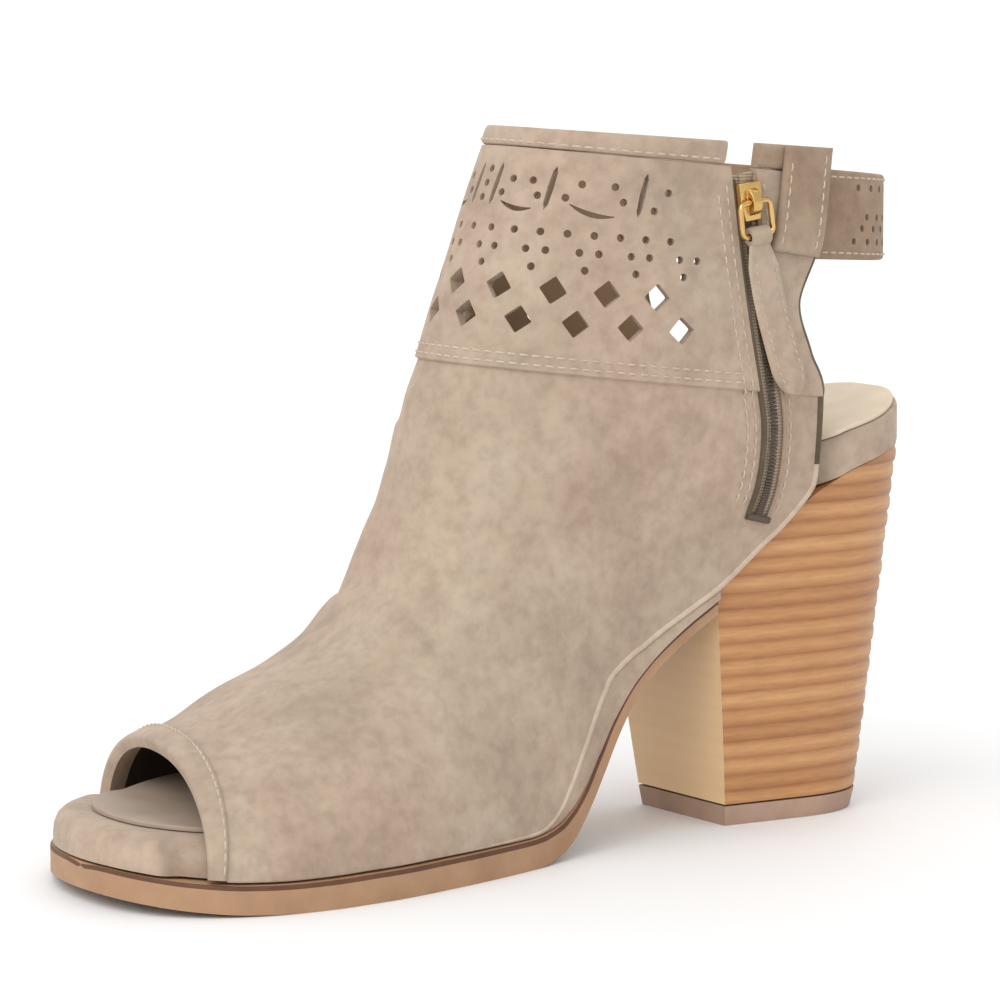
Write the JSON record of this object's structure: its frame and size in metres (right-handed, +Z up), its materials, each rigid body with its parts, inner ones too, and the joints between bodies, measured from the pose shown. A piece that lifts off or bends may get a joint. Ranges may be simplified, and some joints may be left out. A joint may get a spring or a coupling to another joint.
{
  "type": "ankle_boot",
  "caption": "Peep toe ankle boot, right shoe, in taupe suede: open heel with a sling strap, perforated collar, side zip with a pull tab, stacked block heel and smooth outsole",
  "frame": {"origin": "on the floor, in the middle of the heel's base", "axes": "+Z up, toe towards -Y, +X to the medial side of the right shoe"},
  "size_m": [0.0966, 0.2302, 0.17],
  "materials": {
    "suede": "taupe suede with a short nap",
    "sock_leather": "smooth cream leather",
    "outsole": "smooth brown sole",
    "stacked_leather": "stacked leather layers, satin edges",
    "heel_rubber": "matt greyish brown rubber",
    "zip_fabric": "woven tape with a dark coil",
    "gold_metal": "pale gold, semi gloss"
  },
  "bodies": {
    "shoe": {"upper": "suede", "toe_binding": "suede", "topline_binding": "suede", "panel_binding": "suede", "medial_keeper": "suede", "lateral_keeper": "suede", "sling_strap": "suede", "footbed": "suede", "shank_wrap": "suede", "sock_lining": "sock_leather", "outsole": "outsole", "stacked_heel": "stacked_leather", "heel_lift": "heel_rubber", "zip_tape": "zip_fabric", "zip_slider": "gold_metal"},
    "pull": {"pull_bail": "gold_metal", "pull_tab": "suede"}
  },
  "joints": [
    {"name": "pull_swing", "type": "hinge", "parent": "shoe", "child": "pull", "pos_m": [0.03558, -0.02933, 0.15229], "axis": [0, -0.9897, -0.1431], "range_deg": [0, 120]}
  ]
}
